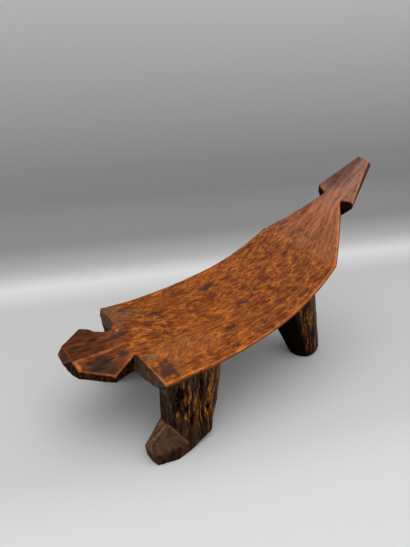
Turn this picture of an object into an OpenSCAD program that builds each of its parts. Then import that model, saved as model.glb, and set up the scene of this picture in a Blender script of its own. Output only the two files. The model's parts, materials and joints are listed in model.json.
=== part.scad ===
// Low stool carved from one block of hardwood, in the form of a creature.
// It is divided at its natural joints: neck, head, tail, legs and feet.
// Origin: the middle of the floor under the stool. +X runs to the tail, +Z is up.

/* [Seat] */
// Width across the front corners of the seat
shoulder_width = 178; // [150:1:210]
// Width behind the shoulders, which flare out a little to the front corners
waist_width = 173.5; // [145:0.5:205]
// Width at the rear corners, where the taper to the tail begins
rear_width = 140; // [110:1:165]
// Height of the seat's rim above the floor at the front
rim_height = 99.3; // [90:0.1:130]
// Length of the level stretch behind the front corners
level_length = 20; // [5:1:60]
// Radius of the first, gentle sweep of the seat
gentle_radius = 520; // [400:5:700]
// Slope where the gentle sweep ends
gentle_slope = 14.5; // [8:0.5:20]
// Radius of the second, steeper sweep, up into the tail
steep_radius = 245; // [200:5:320]
// Slope at the rear corners
corner_slope = 39; // [30:0.2:45]
// Thickness of the seat along its rim
rim_thickness = 4.5; // [3:0.5:8]
// Depth of the belly below the level of the rim
belly_depth = 16; // [12:0.5:26]
// Rise of the middle of the seat above the rim at the neck
front_crown = 7; // [0:0.5:10]
// Dip of the middle of the seat below the rim, where one sits
seat_dip = 4; // [0:0.5:7]

/* [Neck and head] */
// Width of the neck in the notches behind the head
neck_width = 64; // [50:1:80]
// Distance from the middle to the right notch, which is cut less deep than the left one
right_notch = 40.5; // [34:0.5:50]
// How far the neck starts ahead of the front corners
notch_lead = 7; // [3:0.5:15]
// How far the under edge of the seat's front leads its top edge, in the notches
notch_undercut = 3.4; // [0:0.1:5]
// Length of the neck, from the notches to the jaw
neck_length = 32; // [24:1:45]
// Width of the head across the jaw
jaw_width = 103; // [84:1:120]
// How much further the jaw reaches to its right than to its left
jaw_bias = 4; // [0:0.5:6]
// How far the right side of the neck is hollowed inwards
neck_hollow = 9.5; // [0:0.5:12]
// How far the top of the neck dips at its hollow
neck_dip = 5; // [0:0.5:7]
// Length of the head in front of the jaw
head_length = 30; // [22:1:45]
// Width of the blunt front of the head
snout_width = 54; // [40:1:70]
// Height of the head's ridge above the floor
head_height = 105; // [95:0.5:115]
// Fall of the head from its ridge to the corners of the jaw
jaw_fall = 4; // [0:0.5:6]
// Thickness of the head at the corners of the jaw
jaw_thickness = 9.5; // [7:0.5:13]
// Thickness of the head under its ridge
head_thickness = 16; // [14:0.5:22]
// How far the ridge of the head lies to the left of the middle
ridge_offset = 7; // [0:0.5:10]
// How far the chin reaches past the top of the snout, at its right
chin_reach = 6.5; // [0:0.5:9]

/* [Tail] */
// Slope of the seat where the tail becomes a neck
tail_slope = 57.2; // [50:0.2:62]
// Width of the neck of the tail
tail_neck_width = 29; // [24:0.5:30]
// Thickness of the neck of the tail
tail_neck_thickness = 12.5; // [10:0.5:16]
// Length of the neck of the tail, measured level
tail_neck_length = 2.5; // [2:0.5:14]
// Width of the arrow head on the tail, across its barbs
barb_width = 66; // [60:0.5:76]
// How far the corners of the barbs sweep back behind their roots
barb_sweep = 5; // [0:0.5:9]
// Thickness of the barbs at their corners
barb_thickness = 9; // [6:0.5:12]
// Depth of the arrow head under its ridge, at the barbs
barb_keel = 26.5; // [20:0.5:30]
// Length of the arrow head, along its slope
arrow_length = 65; // [50:0.5:80]
// Slope of the arrow head
arrow_slope = 39.5; // [30:0.5:50]
// Width of the blunt tip of the arrow head
tip_width = 18; // [9:0.5:22]
// Thickness of the tip of the arrow head
tip_thickness = 9; // [6:0.5:13]
// Fall of the arrow head from its ridge to its corners
arrow_fall = 3.5; // [0:0.5:6]
// How far the arrow head lies to the left of the middle
arrow_offset = 1.2; // [0:0.1:5]
// How far the arrow head rolls down to its left
arrow_roll = 5.5; // [0:0.5:9]
// How far the barbs turn, the left one towards the front
arrow_turn = 3; // [0:0.5:6]

/* [Front legs] */
// Length of a front leg along the seat, at its top
leg_depth = 71; // [60:1:80]
// Width of a front leg across the seat, at its top
leg_width = 44; // [36:1:50]
// Height of each front leg's root, left standing under the belly of the seat
leg_root_height = 3.3; // [1:0.1:8]
// Height of the ankle, where the foot begins
ankle_height = 40; // [34:1:50]
// How far the outer side of the leg leans in, down to the ankle
leg_lean = 5; // [0:0.5:8]
// How far the toe reaches ahead of the leg
toe_reach = 22; // [12:1:30]
// How far the foot spreads out past the rim of the seat
foot_spread = 9; // [4:0.5:14]
// Height of the top of the toe
toe_height = 27; // [20:0.5:31]
// Height of the foot's outer and inner edge
foot_edge = 13; // [9:0.5:16]
// Length of the bevel cut under the heel, from the sole back to the heel
heel_bevel = 39; // [24:1:46]
// How far the right foot stands further back than the left one
right_rake = 8; // [0:0.5:14]

/* [Rear leg] */
// How far ahead of the seat's rear corners the middle of the rear leg's root lies, along the seat
rear_root_lead = 36; // [32:0.5:60]
// Lean of the rear leg, from its foot forward to the seat
rear_lean = 18.2; // [14:0.1:24]
// How far the rear foot stands to the left of the middle
rear_offset = 12.4; // [0:0.1:14]
// Diameter of the rear foot
rear_foot_diameter = 41; // [36:1:56]
// Diameter of the rear leg where it leaves the seat
rear_top_diameter = 79.5; // [60:0.5:88]
// Height of the leg's root, left standing under the belly of the seat
rear_root_height = 12; // [11:0.5:16]
// Bevel worn round the rear foot
rear_foot_bevel = 3; // [1:0.5:5]
// How far that bevel is set forward, so that it is deepest at the back
rear_foot_wear = 8; // [0:0.5:10]

/* [Hidden] */

seat_color = "#a8541f";
tail_color = "#9c4a20";
head_color = "#8f4523";
leg_color = "#5c3a1e";

degrees = 180 / PI;
// Spacing of the cross-sections along the seat
station_step = 6;
// How sharply the belly turns up to the rim
belly_power = 9;
// Where the crown of the shoulders has turned into the dip of the seat
crown_end = 85;

// Lengths along the spine at which its curvature changes
gentle_end = level_length + gentle_radius * gentle_slope / degrees;
corner_at = gentle_end + steep_radius * (corner_slope - gentle_slope) / degrees;
tail_at = corner_at + steep_radius * (tail_slope - corner_slope) / degrees;

// Slope of the seat at the length s along its spine
function slope(s) = s < level_length ? 0
    : s < gentle_end ? (s - level_length) / gentle_radius * degrees
    : gentle_slope + (s - gentle_end) / steep_radius * degrees;

// Point of the spine at the length s, as its x and z at the level of the rim
gentle_x = level_length + gentle_radius * sin(gentle_slope);
gentle_z = rim_height + gentle_radius * (1 - cos(gentle_slope));
function spine(s) = s < level_length ? [s, rim_height]
    : s < gentle_end ? [level_length + gentle_radius * sin(slope(s)),
        rim_height + gentle_radius * (1 - cos(slope(s)))]
    : [gentle_x + steep_radius * (sin(slope(s)) - sin(gentle_slope)),
        gentle_z + steep_radius * (cos(gentle_slope) - cos(slope(s)))];

// Point at the length s, the distance y from the middle and the height h over the rim
function on_seat(s, y, h) = [spine(s)[0] - h * sin(slope(s)), y, spine(s)[1] + h * cos(slope(s))];

// A share from 0 to 1 that eases in and out
function eased(q) = let (k = min(max(q, 0), 1)) k * k * (3 - 2 * k);
function mixed(a, b, q) = a + (b - a) * q;

// Half the width of the seat and its taper at the length s
flare_end = 35;
function half_width(s) = s < flare_end
    ? mixed(shoulder_width, waist_width, eased(s / flare_end)) / 2
    : s < corner_at
    ? mixed(waist_width, rear_width, pow((s - flare_end) / (corner_at - flare_end), 2)) / 2
    : mixed(rear_width, tail_neck_width, (s - corner_at) / (tail_at - corner_at)) / 2;

// Height of the middle of the seat over the rim at the length s
function crown(s) = s < corner_at
    ? mixed(front_crown, -seat_dip, eased(s / crown_end))
    : -seat_dip * (1 - eased((s - corner_at) / (tail_at - corner_at)));

// Depth of the belly at the length s, less towards the neck of the tail
function belly(s) = mixed(belly_depth, tail_neck_thickness,
    eased((s - corner_at) / (tail_at - corner_at)));

// Places across a section, as shares of its half width; two pairs lie in the notches
notch_share = neck_width / shoulder_width;
right_share = 2 * right_notch / shoulder_width;
half_places = concat([0, notch_share / 2, notch_share],
    [for (k = [0 : 4]) mixed(right_share, 1, k / 4)]);
places = concat([for (i = [len(half_places) - 1 : -1 : 1]) -half_places[i]], half_places);
function backwards(list) = [for (i = [len(list) - 1 : -1 : 0]) list[i]];

function top_height(s, share) = crown(s) * (1 - share * share);
function under_height(s, share) =
    -mixed(belly(s), rim_thickness, pow(abs(share), belly_power));

// How far ahead of the legs the end face lies, from its corners in to the notches
corner_lead = 1.5;
function lead(share) = mixed(corner_lead, notch_lead, share > 0
    ? min(max((right_share - share) / (right_share - notch_share), 0), 1)
    : min((1 + share) / (1 - notch_share), 1));
function under_lead(share) = lead(share) * (1 + notch_undercut / notch_lead);

// How far a section lies to the left of the middle, growing from the corners to the arrow head
function shift(s) = arrow_offset * max((s - corner_at) / (tail_at - corner_at), 0);

// One cross-section at the length s: over the top from left to right, and back underneath
function section(s, first = false) = concat(
    [for (p = places)
        on_seat(first ? s - lead(p) : s, p * half_width(s) - shift(s), top_height(s, p))],
    [for (p = backwards(places))
        on_seat(first ? s - under_lead(p) : s, p * half_width(s) - shift(s), under_height(s, p))]);

// Solid through sections of equal length, which run over the top and back underneath
module loft(rings) {
    count = len(rings[0]);
    last = (len(rings) - 1) * count;
    sides = [for (i = [0 : len(rings) - 2]) for (j = [0 : count - 1])
        let (a = i * count + j, b = i * count + (j + 1) % count)
        each [[a, b, b + count], [a, b + count, a + count]]];
    // The end faces are strips between the top points and those under them
    front = [for (j = [0 : count / 2 - 2])
        each [[j, count - 1 - j, count - 2 - j], [j, count - 2 - j, j + 1]]];
    back = [for (face = front) [last + face[0], last + face[2], last + face[1]]];
    polyhedron([for (ring = rings) each ring], concat(sides, front, back));
}

// Solid through level outlines, from the highest to the lowest
module stack(rings) {
    count = len(rings[0]);
    last = (len(rings) - 1) * count;
    sides = [for (i = [0 : len(rings) - 2]) for (j = [0 : count - 1])
        let (a = i * count + j, b = i * count + (j + 1) % count)
        each [[a, a + count, b], [b, a + count, b + count]]];
    over = [[for (j = [0 : count - 1]) j]];
    under = [[for (j = [count - 1 : -1 : 0]) last + j]];
    polyhedron([for (ring = rings) each ring], concat(sides, over, under));
}

// Stations from one length to another, evenly spaced
function stations(from, to) = let (steps = ceil((to - from) / station_step))
    [for (i = [0 : steps]) mixed(from, to, i / steps)];

// Reach of the whole stool, from the chin to the tip of the tail
jaw_x = -notch_lead - neck_length;
snout_x = jaw_x - head_length;
arrow_x = spine(tail_at)[0] + tail_neck_length;
arrow_z = spine(tail_at)[1] + tail_neck_length * tan(arrow_slope);
tip_x = arrow_x + arrow_length * cos(arrow_slope);
tip_z = arrow_z + arrow_length * sin(arrow_slope);
front_end = snout_x - chin_reach;
back_end = tip_x + tip_thickness * sin(arrow_slope);
middle_x = (front_end + back_end) / 2;

// The neck's root has the places of the seat's end face between the notches, on top and below
root_places = [-notch_share, -notch_share / 2, 0, notch_share / 2, notch_share, right_share];
function root_section() = concat(
    [for (p = root_places) on_seat(-lead(p), p * shoulder_width / 2, top_height(0, p))],
    [for (p = backwards(root_places))
        on_seat(-under_lead(p), p * shoulder_width / 2, under_height(0, p))]);

// The head's sections have as many places
head_places = [-1, -0.5, 0, 0.5, 0.8, 1];
function jaw_y(p) = p * jaw_width / 2 + jaw_bias * max(p, 0);
function jaw_section() = concat(
    [for (p = head_places) [jaw_x, jaw_y(p) - ridge_offset * (1 - abs(p)),
        head_height - jaw_fall * abs(p)]],
    [for (p = backwards(head_places)) [jaw_x, jaw_y(p),
        head_height - mixed(head_thickness, jaw_fall + jaw_thickness, p * p)]]);

// Sections of the neck: each one's share of the way from the jaw to the root, and its share
// of the hollow, which fades from the right side of the neck to the middle
neck_sections = [[0.25, 0.3], [0.36, 0.7], [0.64, 1], [0.9, 0.85]];
function neck_section(way, share) = let (
        straight = mixed(jaw_section(), root_section(), way),
        edge = mixed(jaw_y(1), right_notch, way))
    [for (i = [0 : len(straight) - 1])
        let (cut = share * pow(max(straight[i][1], 0) / edge, 3), on_top = i < len(head_places))
        straight[i] - [0, neck_hollow * cut, on_top ? neck_dip * cut : 0]];
// The chin reaches furthest at its right, where p is 1, and this share of it less at its left
chin_slant = 0.8;
function chin(p) = chin_reach * (1 - chin_slant * pow((1 - p) / 2, 2));
// Fall of the snout's top to its corners, and how much thicker it is there than the jaw
snout_fall = 1;
snout_gain = 1;
snout_thickness = jaw_thickness + snout_gain;
function snout_section() = concat(
    [for (p = head_places) [snout_x, p * snout_width / 2 - ridge_offset * (1 - abs(p)),
        head_height - snout_fall * abs(p)]],
    [for (p = backwards(head_places)) [snout_x - chin(p), p * snout_width / 2,
        head_height - mixed(head_thickness, snout_fall + snout_thickness, p * p)]]);

module neck() {
    color(head_color) loft(concat([jaw_section()],
        [for (n = neck_sections) neck_section(n[0], n[1])], [root_section()]));
}

module head() {
    color(head_color) loft([snout_section(), jaw_section()]);
}

// A place on the arrow head: x and z as on its middle line, turned and rolled by its y
function on_arrow(x, y, z, share) =
    [x + share * y * tan(arrow_turn), y - arrow_offset, z + y * tan(arrow_roll)];

// The tail's neck ends in the upright plane where the arrow head begins
tail_neck_keel = 2.5;
tail_neck_drop = tail_neck_thickness / cos(arrow_slope);
function tail_end_section() = concat(
    [for (p = places) on_arrow(arrow_x, p * tail_neck_width / 2, arrow_z - arrow_fall / 2 * abs(p), 1)],
    [for (p = backwards(places)) on_arrow(arrow_x, p * tail_neck_width / 2,
        arrow_z - tail_neck_drop - tail_neck_keel * (1 - p * p), 1)]);

// The last stretch of the tail is straight, so that its underside ends ahead of the arrow head
last_stretch = 16;
module tail() {
    color(tail_color) {
        loft(concat([for (s = stations(corner_at, tail_at - last_stretch)) section(s)],
            [tail_end_section()]));
        rear_leg_root(true);
    }
}

// How sharply the underside of the arrow head narrows to its keel
keel_power = 4;
// The barbs leave the neck of the tail halfway out, and sweep back from there
arrow_places = [-1, -0.5, 0, 0.5, 1];
function swept(p, sweep) = sweep * max(2 * abs(p) - 1, 0);
// The share is 1 at the barbs and less towards the tip; the depth is measured at the tilt
function arrow_section(x, z, share, width, edge, keel, tilt, sweep = 0) = concat(
    [for (p = arrow_places) on_arrow(x + swept(p, sweep), p * width / 2,
        z + swept(p, sweep) * tan(arrow_slope) - arrow_fall * abs(p) * share, share)],
    [for (p = backwards(arrow_places))
        let (depth = mixed(keel, edge + arrow_fall * share, pow(abs(p), keel_power)))
        on_arrow(x + swept(p, sweep) + depth * sin(tilt), p * width / 2,
            z + swept(p, sweep) * tan(arrow_slope) - depth * cos(tilt), share)]);

module tail_arrow() {
    color(tail_color) loft([
        arrow_section(arrow_x, arrow_z, 1, barb_width, barb_thickness, barb_keel, 0, barb_sweep),
        arrow_section(tip_x, tip_z, tip_width / barb_width, tip_width, tip_thickness,
            tip_thickness, arrow_slope)]);
}

// Outline of a front leg at a height, by its distance back from the end face and in
// from the outer side, each as a share of the leg's size there
leg_outline = [[0, 0], [0, 0.05], [-0.01, 0.4], [0.34, 0.95], [0.62, 1],
    [0.9, 0.72], [1, 0.16], [0.84, 0.02], [0.32, -0.05]];
side = -shoulder_width / 2;
function leg_ring(z, x, inset, depth, width) =
    [for (p = leg_outline) [x + p[0] * depth, side + inset + p[1] * width, z]];

// Height at which the front legs begin, below their roots
leg_top = rim_height - belly_depth - leg_root_height;

// Place and size of the leg at its top and at the ankle
top_inset = 0.5;
ankle_x = 2;
ankle_depth = 0.94 * leg_depth;
ankle_width = 0.86 * leg_width;
function leg_top_ring(z) = leg_ring(z, 0, top_inset, leg_depth, leg_width);
function ankle_ring() = leg_ring(ankle_height, ankle_x, leg_lean, ankle_depth, ankle_width);

// The foot's widest outline and its sole, in the order of the leg's outline, by the
// distance back from the toe and in from the outer side as shares of the foot's size.
// The third share is the height, from the foot's edge up to the top of its toe.
foot_length = toe_reach + ankle_x + ankle_depth;
foot_width = foot_spread + leg_lean + ankle_width;
sole_length = foot_length - heel_bevel;
foot_outline = [[0.06, 0.08, 0], [0, 0.18, 1], [0.015, 0.54, -0.12], [0.26, 0.8, 0.2],
    [0.58, 0.92, 0.4], [0.83, 0.83, 0.3], [0.945, 0.4, 0.17], [0.86, 0.2, -0.28], [0.475, 0.05, 0]];
sole_outline = [[0.12, 0.08], [0.06, 0.23], [0.05, 0.48], [0.34, 0.57], [0.7, 0.58],
    [0.88, 0.54], [0.97, 0.4], [0.9, 0.08], [0.555, 0]];
function foot_ring() = [for (p = foot_outline) [p[0] * foot_length - toe_reach,
    side - foot_spread + p[1] * foot_width, mixed(foot_edge, toe_height, p[2])]];
function sole_ring() = [for (p = sole_outline) [p[0] * sole_length - toe_reach,
    side - foot_spread + p[1] * foot_width, 0]];

// The rake sets a ring back in proportion to its depth below the top of the leg
function raked(ring, rake) =
    [for (p = ring) [p[0] + rake * (leg_top - p[2]) / leg_top, p[1], p[2]]];

module front_leg(rake = 0) {
    color(leg_color) stack([leg_top_ring(leg_top), raked(ankle_ring(), rake)]);
}

module front_foot(rake = 0) {
    color(leg_color) stack([for (ring = [ankle_ring(), foot_ring(), sole_ring()]) raked(ring, rake)]);
}

// Root of a front leg, left standing from the leg's top up into the seat
root_top = rim_height - rim_thickness;
module front_leg_root() {
    stack([leg_top_ring(root_top), leg_top_ring(leg_top)]);
}

// The rear leg is a cone about an axis from its foot to its root under the belly
rear_root_at = corner_at - rear_root_lead;
rear_root = on_seat(rear_root_at, 0, -belly_depth);
rear_foot = [rear_root[0] + rear_root[2] * tan(rear_lean), -rear_offset, 0];
rear_axis = rear_root - rear_foot;
rear_length = norm(rear_axis) - rear_root_height;
rear_tilt = acos(rear_axis[2] / norm(rear_axis));
rear_turn = atan2(rear_axis[1], rear_axis[0]);
// Half the cone's growth over each millimetre of its length
rear_growth = (rear_top_diameter - rear_foot_diameter) / 2 / rear_length;
// Size of the blocks that trim the cone, larger than the whole leg
trim = 300;

module rear_cone(from, to) {
    radius = rear_foot_diameter / 2;
    translate(rear_foot) rotate([0, 0, rear_turn]) rotate([0, rear_tilt, 0])
        translate([0, 0, from])
        cylinder(h = to - from, r1 = radius + rear_growth * from,
            r2 = radius + rear_growth * to, $fn = 64);
}

module rear_leg() {
    color(leg_color) intersection() {
        rear_cone(-rear_foot_diameter / 2, rear_length);
        translate(rear_foot - [rear_foot_wear, 0, 0])
            cylinder(h = trim, r1 = rear_foot_diameter / 2 - rear_foot_bevel,
                r2 = rear_foot_diameter / 2 - rear_foot_bevel + trim, $fn = 64);
    }
}

// Root of the rear leg, cut off inside the thickness of the seat. The seat has the part of it
// that lies ahead of the rear corners, and the tail the small part behind them.
module rear_leg_root(behind) {
    depth = (belly_depth + seat_dip) / 2;
    intersection() {
        rear_cone(rear_length, rear_length + trim / 4);
        translate(on_seat(rear_root_at, 0, -depth)) rotate([0, -slope(rear_root_at), 0])
            translate([-trim / 2, -trim / 2, -trim]) cube(trim);
        translate(on_seat(corner_at, 0, 0)) rotate([0, -corner_slope, 0])
            translate([behind ? 0 : -trim, -trim / 2, -trim / 2]) cube(trim);
    }
}

module seat() {
    color(seat_color) {
        loft(concat([section(0, true)],
            [for (s = stations(station_step, corner_at)) section(s)]));
        front_leg_root();
        mirror([0, 1, 0]) front_leg_root();
        rear_leg_root(false);
    }
}

module placed() {
    translate([-middle_x, 0, 0]) children();
}

placed() seat();
placed() neck();
placed() head();
placed() tail();
placed() tail_arrow();
placed() front_leg();  // front_leg_left
placed() mirror([0, 1, 0]) front_leg(right_rake);  // front_leg_right
placed() front_foot();  // front_foot_left
placed() mirror([0, 1, 0]) front_foot(right_rake);  // front_foot_right
placed() rear_leg();
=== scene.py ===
"""Dresses the carved stool: one block of wood with adze marks, worn edges and streaked legs.

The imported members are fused, softened and carved as one mesh, because the real stool is one
block, and the mesh is then divided again where its members meet.
"""

import json
import math

import bmesh
import bpy
import numpy as np
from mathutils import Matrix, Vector, noise
from mathutils.bvhtree import BVHTree


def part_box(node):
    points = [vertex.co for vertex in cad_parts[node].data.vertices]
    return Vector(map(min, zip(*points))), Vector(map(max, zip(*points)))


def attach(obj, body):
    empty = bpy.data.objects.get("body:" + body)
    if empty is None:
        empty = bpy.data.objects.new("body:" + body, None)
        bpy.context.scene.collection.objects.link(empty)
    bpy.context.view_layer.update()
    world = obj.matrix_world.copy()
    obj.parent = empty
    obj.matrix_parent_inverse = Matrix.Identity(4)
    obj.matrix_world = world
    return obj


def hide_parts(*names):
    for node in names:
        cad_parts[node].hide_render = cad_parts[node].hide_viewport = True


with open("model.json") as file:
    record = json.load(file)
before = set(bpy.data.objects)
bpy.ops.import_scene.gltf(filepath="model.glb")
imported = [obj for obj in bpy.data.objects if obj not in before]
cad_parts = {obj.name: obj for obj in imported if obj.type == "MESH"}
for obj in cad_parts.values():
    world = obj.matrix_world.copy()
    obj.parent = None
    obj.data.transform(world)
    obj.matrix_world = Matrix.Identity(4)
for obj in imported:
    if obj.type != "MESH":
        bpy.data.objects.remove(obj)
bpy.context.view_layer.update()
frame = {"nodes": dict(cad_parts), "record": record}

# The seat's own axes: x from the shoulders back, y to the right, z up from the floor
NECK_AND_HEAD = 0.0755
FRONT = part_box("head")[0].x + NECK_AND_HEAD

# The photograph's viewpoint, in the seat's axes, and its lens
EYE = (-0.1915, -0.4628, 0.4323)
EYE_DOWN = math.radians(26.52)
EYE_TURN = math.radians(32.37)
LENS = 34.22
FILM = 36

# The size of the block's faces, how often it is softened and how much of that is kept
FACE_SIZE = 0.0011
SOFTEN_ROUNDS = 2
KEPT_SOFTNESS = 0.45
# How close two members' faces lie where they meet, how far past a seam a member may be cut, and
# how far round the seam the block is searched
TOUCH = 0.0002
CUT_STEP = 0.0015
SEAM_MARGIN = 0.008
# How far from a member's box its points may lie, and how many points of a piece share one vote
# on which member it is
MEMBER_MARGIN = 0.004
POINTS_PER_VOTE = 40

TOP_NODES = ("seat", "neck", "head", "tail", "tail_arrow")
FRONT_LEG_NODES = ("front_leg_left", "front_leg_right", "front_foot_left", "front_foot_right")
# Each member, the one that carries it, and how far past their seam it is cut
SEAMS = (
    ("neck", "seat", CUT_STEP),
    ("head", "neck", 0),
    ("tail", "seat", 0),
    ("tail_arrow", "tail", -CUT_STEP),
    ("front_leg_left", "seat", 0),
    ("front_leg_right", "seat", 0),
    ("front_foot_left", "front_leg_left", 0),
    ("front_foot_right", "front_leg_right", 0),
    ("rear_leg", "seat", 0),
)

# Normals point up by more than FACES_UP on the top, and down by more than FACES_DOWN beneath
FACES_UP = 0.35
FACES_DOWN = -0.3

# How far back the seat's end faces reach, and heights of the front legs' roots and the feet's rims
END_DEPTH = 0.004
ROOT_TOP = 0.0962
FOOT_RIM = 0.0135
# The rear leg's root: its height, half its width, where it ends at the back, and how far its
# ledge lies below the seat
REAR_ROOT_TOP = 0.155
REAR_ROOT_HALF = 0.045
REAR_ROOT_END = 0.34
LEDGE_DEPTH = 0.008
# A place between the front legs and the rear one
BETWEEN_LEGS = 0.12
# The middle of each front leg, from the shoulders and from the middle of the seat
LEG_MIDDLE = (0.034, 0.066)
# The radius at which places round a leg are measured
LEG_RADIUS = 0.03
# Between these distances from the shoulders the marks fade towards the smoother tail
TAIL_START = (0.25, 0.285)
# The top's outline is measured at so many places; in front of the shoulders it counts as wide as
# they are, and nowhere narrower than a share of its greatest width
STATIONS = 90
SHOULDERS = 0.004
NARROWEST = 0.35

# The right shoulder is worn round: the middle of its corner and its radius
WORN_SHOULDER = (0.0040, 0.0850)
WORN_RADIUS = 0.0045

# The blade's long strokes, its round scoops and the cuts down the legs: length and width of each
STROKE = (0.021, 0.0052)
SCOOP = (0.0125, 0.0082)
LEG_CUT = (0.034, 0.006)

# How deep the marks are cut
SCOOP_DEPTH = 0.0005
LEG_CUT_DEPTH = 0.0004
KNOT_DEPTH = 0.0012
CHIP_DEPTH = 0.0008
RAW_DEPTH = 0.0002
SWELL_DEPTH = 0.0006
PITTED_DEPTH = 0.0004

# Patches on the wood, each by its middle and its half size: a darker patch on the near shoulder and
# dark stains, fields of fine scratches, greyish worn spots, black knots, light chips and a painted
# highlight on the head's near front corner
STAINS = (
    # The first darkens a patch on the near shoulder
    ((0.010, -0.070, 0.101), (0.013, 0.017, 0.01)),
    ((-0.047, -0.030, 0.102), (0.017, 0.017, 0.01)),
    ((-0.018, -0.024, 0.104), (0.006, 0.007, 0.01)),
    ((-0.008, 0.010, 0.105), (0.013, 0.007, 0.01)),
    ((0.110, -0.042, 0.104), (0.010, 0.005, 0.01)),
    ((0.134, 0.049, 0.109), (0.013, 0.006, 0.01)),
    ((0.148, -0.012, 0.112), (0.012, 0.004, 0.01)),
    ((0.055, 0.040, 0.100), (0.016, 0.003, 0.01)),
)
SCRATCHED = (
    ((0.030, -0.048, 0.102), (0.024, 0.024, 0.01)),
    ((0.070, -0.042, 0.100), (0.034, 0.022, 0.01)),
)
GREY_SPOTS = (
    ((0.003, -0.046, 0.104), (0.006, 0.007, 0.01)),
    ((0.006, 0.072, 0.100), (0.014, 0.020, 0.01)),
    ((0.002, 0.035, 0.104), (0.005, 0.016, 0.01)),
    ((0.020, 0.052, 0.102), (0.016, 0.012, 0.01)),
    ((0.026, -0.066, 0.101), (0.005, 0.004, 0.01)),
)
KNOTS = (
    ((0.014, -0.089, 0.079), (0.007, 0.01, 0.013)),
    ((0.013, -0.089, 0.062), (0.0035, 0.01, 0.009)),
    ((0.024, -0.086, 0.054), (0.0045, 0.01, 0.010)),
    ((0.041, -0.088, 0.078), (0.003, 0.01, 0.020)),
    ((0.052, -0.088, 0.044), (0.0035, 0.01, 0.014)),
    ((0.030, -0.088, 0.035), (0.003, 0.01, 0.008)),
)
CHIPS = (
    ((-0.0056, 0.0209, 0.1059), (0.0016, 0.0010, 0.003)),
    ((-0.0256, 0.0202, 0.1040), (0.0016, 0.0009, 0.003)),
    ((0.0020, 0.0300, 0.1040), (0.0014, 0.0012, 0.003)),
)
# A painted highlight on the head's near front corner
HEAD_CORNER_HIGHLIGHT = (((-0.0672, -0.021, 0.104), (0.0022, 0.010, 0.005)),)
# The patches by name, with the seed of their edges and how much these waver
PATCHES = {
    "knots": (KNOTS, 12, 0.7),
    "chips": (CHIPS, 13, 0.7),
    "stains": (STAINS, 14, 0.6),
    "grey": (GREY_SPOTS, 15, 0.8),
    "scratched": (SCRATCHED, 17, 0.6),
    "pale": (HEAD_CORNER_HIGHLIGHT, 18, 0.3),
}

# The worn ridge over the neck and the head, from the shoulders to the snout, by its y and x
RIDGE_LINE = ((-0.0077, -0.003), (-0.0119, -0.063))
# The ridge between the toe and the side of the left foot, by its x and z; the right foot stands
# further back
TOE_LINE = ((0.0024, 0.040), (0.021, 0.0133))
TOE_LINE_HALF = 0.0012
RIGHT_FOOT_BACK = 0.005


def fused_block():
    """All the members as one mesh of small even faces, with its edges softened."""
    joined = bmesh.new()
    for member in frame["nodes"].values():
        joined.from_mesh(member.data)
    mesh = bpy.data.meshes.new("block")
    joined.to_mesh(mesh)
    joined.free()
    block = bpy.data.objects.new("block", mesh)
    bpy.context.scene.collection.objects.link(block)
    remesh = block.modifiers.new("even_faces", "REMESH")
    remesh.mode = "VOXEL"
    remesh.voxel_size = FACE_SIZE
    soften = block.modifiers.new("soften", "SMOOTH")
    soften.iterations = SOFTEN_ROUNDS
    shaped = block.evaluated_get(bpy.context.evaluated_depsgraph_get())
    fused = bpy.data.meshes.new_from_object(shaped)
    bpy.data.objects.remove(block)
    return fused


def mesh_values(items, name, width, kind=float):
    """One value of every point, corner or edge of a mesh, as rows of an array."""
    values = np.empty(len(items) * width, kind)
    items.foreach_get(name, values)
    return values.reshape(-1, width)


class Surface:
    """The points of a mesh as arrays, with their normals and neighbours."""

    def __init__(self, mesh):
        self.mesh = mesh
        self.count = len(mesh.vertices)
        self.points = mesh_values(mesh.vertices, "co", 3)
        self.first, self.second = mesh_values(mesh.edges, "vertices", 2, int).T
        self.degree = np.bincount(np.concatenate([self.first, self.second]), minlength=self.count)
        self.read_normals()

    def read_normals(self):
        self.normals = mesh_values(self.mesh.vertices, "normal", 3)

    def move(self, points):
        self.points = points
        self.mesh.vertices.foreach_set("co", points.ravel())
        self.mesh.update()
        self.read_normals()

    def spread(self, values, rounds):
        """Values averaged with those of their neighbours, so many times."""
        columns = np.asarray(values, float).reshape(self.count, -1).T
        spread = []
        for column in columns:
            for _ in range(rounds):
                total = np.bincount(self.first, column[self.second], self.count)
                total += np.bincount(self.second, column[self.first], self.count)
                column = (column + total / self.degree) / 2
            spread.append(column)
        return np.array(spread).T.reshape(values.shape)


def smooth_step(low, high, value):
    """A share that rises smoothly from 0 at low to 1 at high."""
    share = np.clip((value - low) / (high - low), 0, 1)
    return share * share * (3 - 2 * share)


def node_trees():
    """A tree of every member's own faces, to find the nearest place on it."""
    trees = {}
    for name, member in frame["nodes"].items():
        shape = bmesh.new()
        shape.from_mesh(member.data)
        trees[name] = BVHTree.FromBMesh(shape)
        shape.free()
    return trees


def nearest_members(points, trees):
    """The name of the member that each point lies on, and the nearest place on it."""
    names = list(trees)
    best = np.full(len(points), np.inf)
    index = np.zeros(len(points), int)
    nearest = points.copy()
    for number, name in enumerate(names):
        low, high = (np.array(corner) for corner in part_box(name))
        inside = np.all((points > low - MEMBER_MARGIN) & (points < high + MEMBER_MARGIN), axis=1)
        for i in np.flatnonzero(inside):
            place, _, _, distance = trees[name].find_nearest(Vector(points[i]))
            if distance < best[i]:
                best[i] = distance
                index[i] = number
                nearest[i] = place
    return np.array(names)[index], nearest


def wobble(points, scale, seed):
    """Smooth noise at each point, from about -1 to 1; scale is the size of its swells.

    Scale is one size, or one for each axis, and every seed gives a pattern of its own.
    """
    shift = Vector((seed * 7.13, seed * 3.71, seed * 5.39))
    size = Vector(scale if isinstance(scale, (tuple, Vector)) else (scale, scale, scale))
    return np.array([noise.noise(Vector((p[0] / size.x, p[1] / size.y, p[2] / size.z)) + shift)
                     for p in points])


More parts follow.
